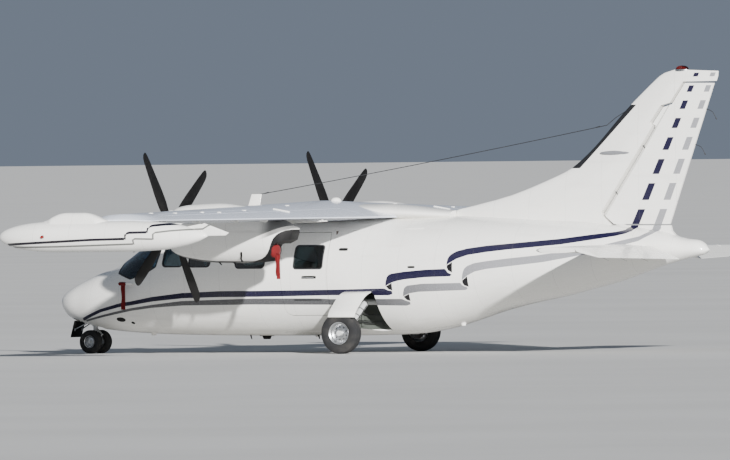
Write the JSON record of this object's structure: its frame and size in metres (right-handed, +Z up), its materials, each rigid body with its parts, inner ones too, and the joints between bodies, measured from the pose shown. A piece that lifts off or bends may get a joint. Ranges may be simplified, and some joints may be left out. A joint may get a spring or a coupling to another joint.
{
  "type": "light twin turboprop aircraft",
  "caption": "Light high-wing twin-turboprop aircraft on its wheels, with tip tanks, hollow cabin, opening door, turning propellers and working control surfaces.",
  "frame": {"origin": "on the ground under the middle of the aircraft", "axes": "+X to the nose, +Y to port, +Z up"},
  "size_m": [10.13, 11.928, 3.925],
  "materials": {
    "white_paint": "gloss",
    "window_glass": "gloss",
    "tyre_rubber": "matte",
    "gear_metal": "satin",
    "black_paint": "satin",
    "cabin_trim": "matte",
    "floor_trim": "matte",
    "red_lens": "gloss",
    "exhaust_steel": "satin"
  },
  "bodies": {
    "airframe": {"beacon": "red_lens", "belly_aerial": "black_paint", "cabin_floor": "floor_trim", "cabin_seat_front": "cabin_trim", "cabin_seat_rear": "cabin_trim", "cabin_shell": "white_paint", "cockpit_window_left": "window_glass", "cockpit_window_right": "window_glass", "exhaust_left": "exhaust_steel", "exhaust_right": "exhaust_steel", "fin": "white_paint", "flap_left": "white_paint", "flap_right": "white_paint", "front_window_left": "window_glass", "front_window_right": "window_glass", "instrument_panel": "black_paint", "main_leg_door_left": "white_paint", "main_leg_door_right": "white_paint", "main_leg_left": "gear_metal", "main_leg_right": "gear_metal", "middle_window_left": "window_glass", "middle_window_right": "window_glass", "nacelle_left": "white_paint", "nacelle_right": "white_paint", "nose_front_door": "black_paint", "nose_leg": "gear_metal", "nose_section": "white_paint", "pilot_seat_left": "cabin_trim", "pilot_seat_right": "cabin_trim", "rear_bulkhead": "floor_trim", "rear_window": "window_glass", "roof_aerial": "white_paint", "stabiliser": "white_paint", "tail_section": "white_paint", "tip_tank_left": "white_paint", "tip_tank_right": "white_paint", "wheel_bay_section": "white_paint", "windscreen_left": "window_glass", "windscreen_right": "window_glass", "wing": "white_paint", "wing_fairing": "white_paint"},
    "propeller_left": {"spinner_left": "white_paint", "propeller_blades_left": "black_paint"},
    "propeller_right": {"spinner_right": "white_paint", "propeller_blades_right": "black_paint"},
    "main_wheel_left": {"main_wheel_left": "tyre_rubber"},
    "main_wheel_right": {"main_wheel_right": "tyre_rubber"},
    "nose_steering": {"nose_steering_leg": "gear_metal"},
    "nose_wheels": {"nose_wheel_left": "tyre_rubber", "nose_wheel_right": "tyre_rubber"},
    "rudder": {"rudder": "white_paint"},
    "elevator_left": {"elevator_left": "white_paint"},
    "elevator_right": {"elevator_right": "white_paint"},
    "spoiler_left": {"spoiler_left": "white_paint"},
    "spoiler_right": {"spoiler_right": "white_paint"},
    "cabin_door": {"cabin_door": "white_paint", "door_window": "window_glass"}
  },
  "joints": [
    {"name": "propeller_left_turn", "type": "hinge", "parent": "airframe", "child": "propeller_left", "pos_m": [2.08, 2.31, 1.73], "axis": [1, 0, 0], "continuous": true},
    {"name": "propeller_right_turn", "type": "hinge", "parent": "airframe", "child": "propeller_right", "pos_m": [2.08, -2.31, 1.73], "axis": [1, 0, 0], "continuous": true},
    {"name": "main_wheel_left_roll", "type": "hinge", "parent": "airframe", "child": "main_wheel_left", "pos_m": [0.11, 1.15, 0.28], "axis": [0, 1, 0], "continuous": true},
    {"name": "main_wheel_right_roll", "type": "hinge", "parent": "airframe", "child": "main_wheel_right", "pos_m": [0.11, -1.15, 0.28], "axis": [0, 1, 0], "continuous": true},
    {"name": "nose_steer", "type": "hinge", "parent": "airframe", "child": "nose_steering", "pos_m": [4.56, 0, 0.3], "axis": [0, 0, 1], "range_deg": [-20, 20]},
    {"name": "nose_wheels_roll", "type": "hinge", "parent": "nose_steering", "child": "nose_wheels", "pos_m": [4.56, 0, 0.162], "axis": [0, 1, 0], "continuous": true},
    {"name": "rudder_swing", "type": "hinge", "parent": "airframe", "child": "rudder", "pos_m": [-3.38221, 0, 1.8697], "axis": [-0.5623, 0, 0.827], "range_deg": [-25, 25]},
    {"name": "elevator_left_swing", "type": "hinge", "parent": "airframe", "child": "elevator_left", "pos_m": [-4.16, 0, 1.39], "axis": [0, 1, 0], "range_deg": [0, 42]},
    {"name": "elevator_right_swing", "type": "hinge", "parent": "airframe", "child": "elevator_right", "pos_m": [-4.16, 0, 1.39], "axis": [0, 1, 0], "range_deg": [0, 42]},
    {"name": "spoiler_left_lift", "type": "hinge", "parent": "airframe", "child": "spoiler_left", "pos_m": [0.61299, 2.9, 1.97103], "axis": [0.0623, 0.9979, -0.0203], "range_deg": [0, 57]},
    {"name": "spoiler_right_lift", "type": "hinge", "parent": "airframe", "child": "spoiler_right", "pos_m": [0.61299, -2.9, 1.96924], "axis": [-0.0623, 0.9979, 0.0201], "range_deg": [0, 57]},
    {"name": "cabin_door_swing", "type": "hinge", "parent": "airframe", "child": "cabin_door", "pos_m": [1.225, 0.832, 1], "axis": [0, 0, -1], "range_deg": [0, 95]}
  ],
  "couplings": [
    {"joint": "elevator_right_swing", "follows": "elevator_left_swing", "ratio": 1}
  ]
}
